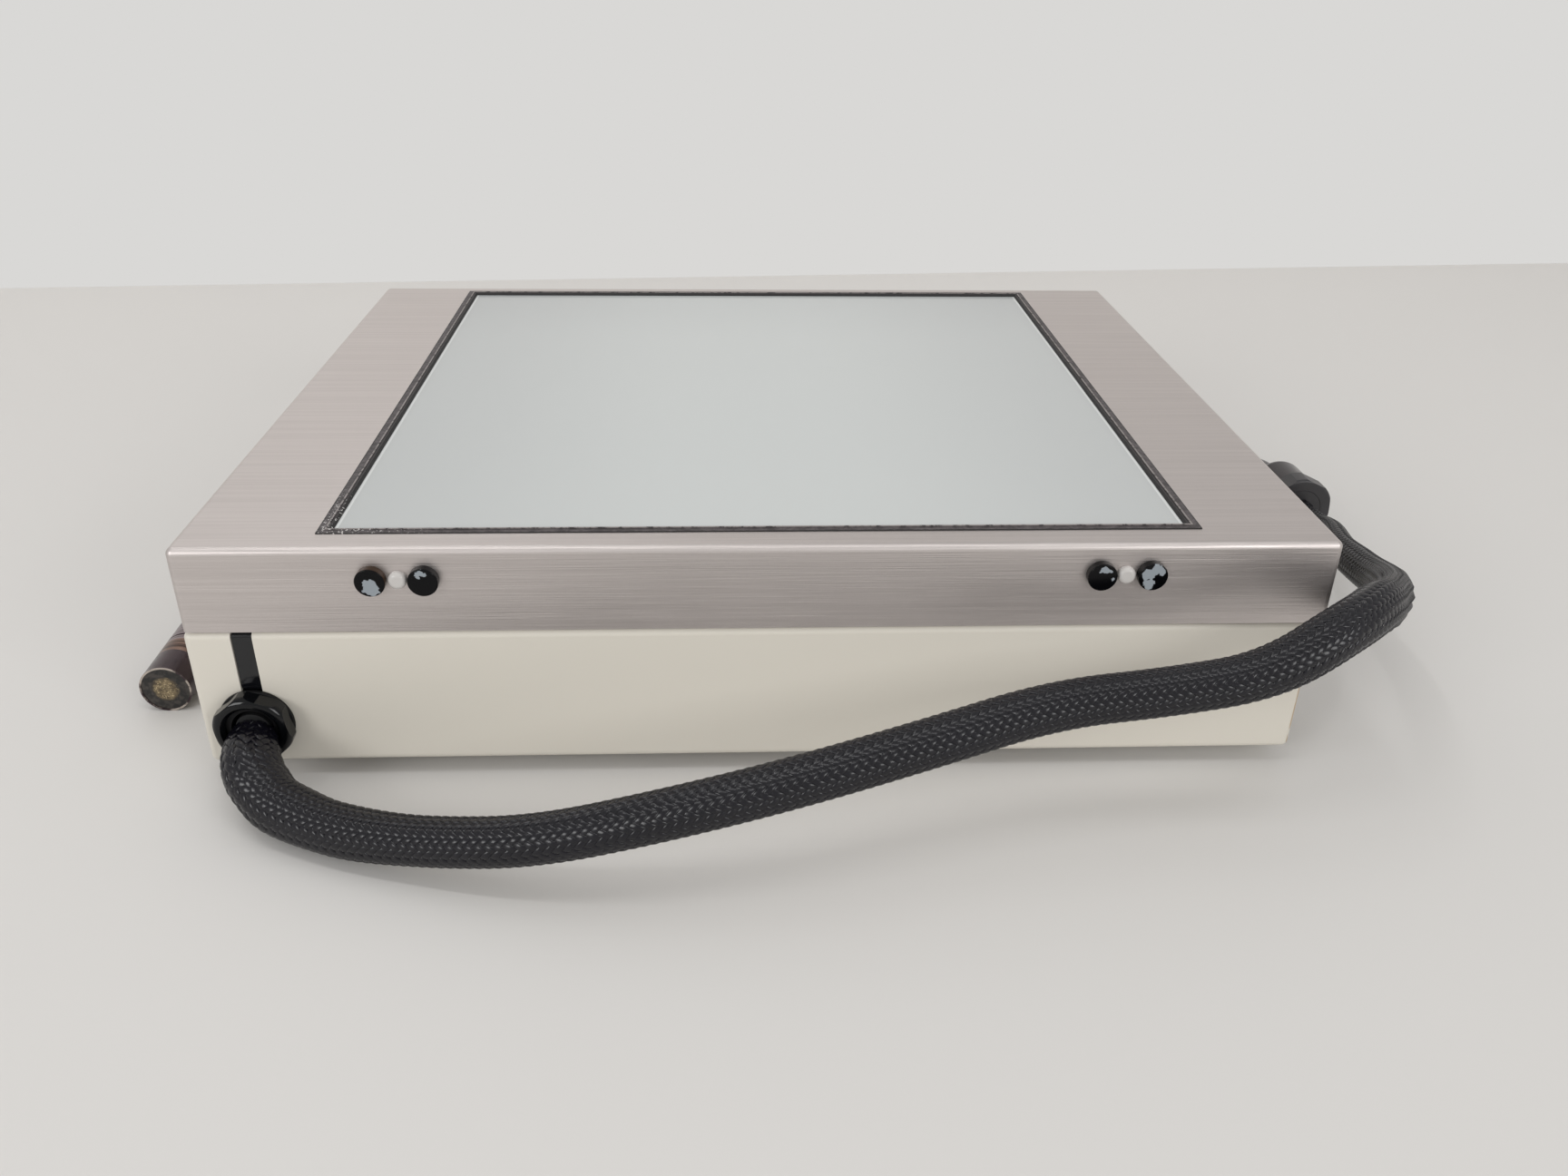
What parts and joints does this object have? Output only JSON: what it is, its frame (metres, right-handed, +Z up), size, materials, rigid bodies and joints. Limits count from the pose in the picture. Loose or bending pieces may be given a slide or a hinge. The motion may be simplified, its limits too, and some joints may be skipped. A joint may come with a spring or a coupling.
{
  "type": "transilluminator light table",
  "caption": "Shallow light box with an opal glass window in a lift-off steel cover, lit through a braided fibre-optic light guide that plugs into a separate lamp.",
  "frame": {"origin": "on the bench under the middle of the box's footprint, front discs included", "axes": "+X to the right along the front, +Y to the back, +Z up"},
  "size_m": [0.5356, 0.4447, 0.0922],
  "materials": {
    "cover_steel": "brushed along the length",
    "opal_glass": "opal, smooth",
    "black_rubber": "matte",
    "white_plastic": "diffuse white",
    "zinc_steel": "zinc plated",
    "disc_metal": "glossy black coating, flaked in places",
    "clear_rubber": "clear, soft",
    "ivory_paint": "satin powder coat",
    "black_matte": "matte",
    "black_gloss": "glossy",
    "black_anodised": "black anodised",
    "fibre_ends": "ground and polished fibre ends",
    "clear_glass": "polished",
    "white_paint": "matte white",
    "bare_aluminium": "satin",
    "braid": "coarse braid, slightly shiny",
    "grey_plastic": "satin, worn",
    "brown_gloss": "glossy",
    "jacket_rubber": "smooth",
    "copper_band": "polished, tarnished",
    "dark_metal": "dark anodised, glossy",
    "dark_resin": "ground flat"
  },
  "bodies": {
    "base": {"base_tray": "ivory_paint", "corner_posts": "zinc_steel", "post_screws": "zinc_steel", "rubber_feet": "black_rubber", "foot_screws": "zinc_steel", "foot_nuts": "zinc_steel", "slot_strip": "black_matte", "gland_washer": "black_rubber", "gland_body": "black_gloss", "gland_locknut": "black_gloss", "light_bar_left": "black_anodised", "light_bar_right": "black_anodised", "fibre_line_left": "fibre_ends", "fibre_line_right": "fibre_ends", "rod_lens_left": "clear_glass", "rod_lens_right": "clear_glass", "bar_end_plates": "black_anodised", "bar_brackets": "zinc_steel", "bracket_screws": "zinc_steel", "reflector_panel": "white_paint", "reflector_standoffs": "bare_aluminium", "reflector_screws": "zinc_steel", "splitter_block": "black_matte", "splitter_screws": "zinc_steel", "bundle_trunk": "black_matte", "branch_left": "black_matte", "branch_right": "black_matte", "branch_clips": "zinc_steel", "branch_clip_screws": "zinc_steel", "guide_sleeve": "braid", "coupling_body": "brown_gloss", "guide_jacket": "jacket_rubber", "plug_boot": "jacket_rubber", "plug_barrel": "bare_aluminium", "plug_spacer": "bare_aluminium", "plug_band": "copper_band", "plug_tip": "dark_metal", "fibre_epoxy": "dark_resin", "fibre_core": "fibre_ends"},
    "cover": {"top_cover": "cover_steel", "window_ledge": "cover_steel", "window_glass": "opal_glass", "window_seal": "black_rubber", "diffuser_sheet": "white_plastic", "diffuser_clips": "zinc_steel", "clip_studs": "zinc_steel", "clip_nuts": "zinc_steel", "front_discs": "disc_metal", "front_bumpers": "clear_rubber"},
    "gland_nut": {"gland_nut": "black_gloss"},
    "coupling_nut": {"coupling_nut": "grey_plastic"}
  },
  "joints": [
    {"name": "cover_lift", "type": "slide", "parent": "base", "child": "cover", "axis": [0, 0, 1], "range_m": [0, 0.06]},
    {"name": "gland_nut_turn", "type": "hinge", "parent": "base", "child": "gland_nut", "pos_m": [-0.178, -0.164, 0.0243], "axis": [0, -1, 0], "range_deg": [0, 720]},
    {"name": "coupling_nut_turn", "type": "hinge", "parent": "base", "child": "coupling_nut", "pos_m": [0.2756, 0.035, 0.016], "axis": [0, -1, 0], "range_deg": [0, 720]}
  ]
}
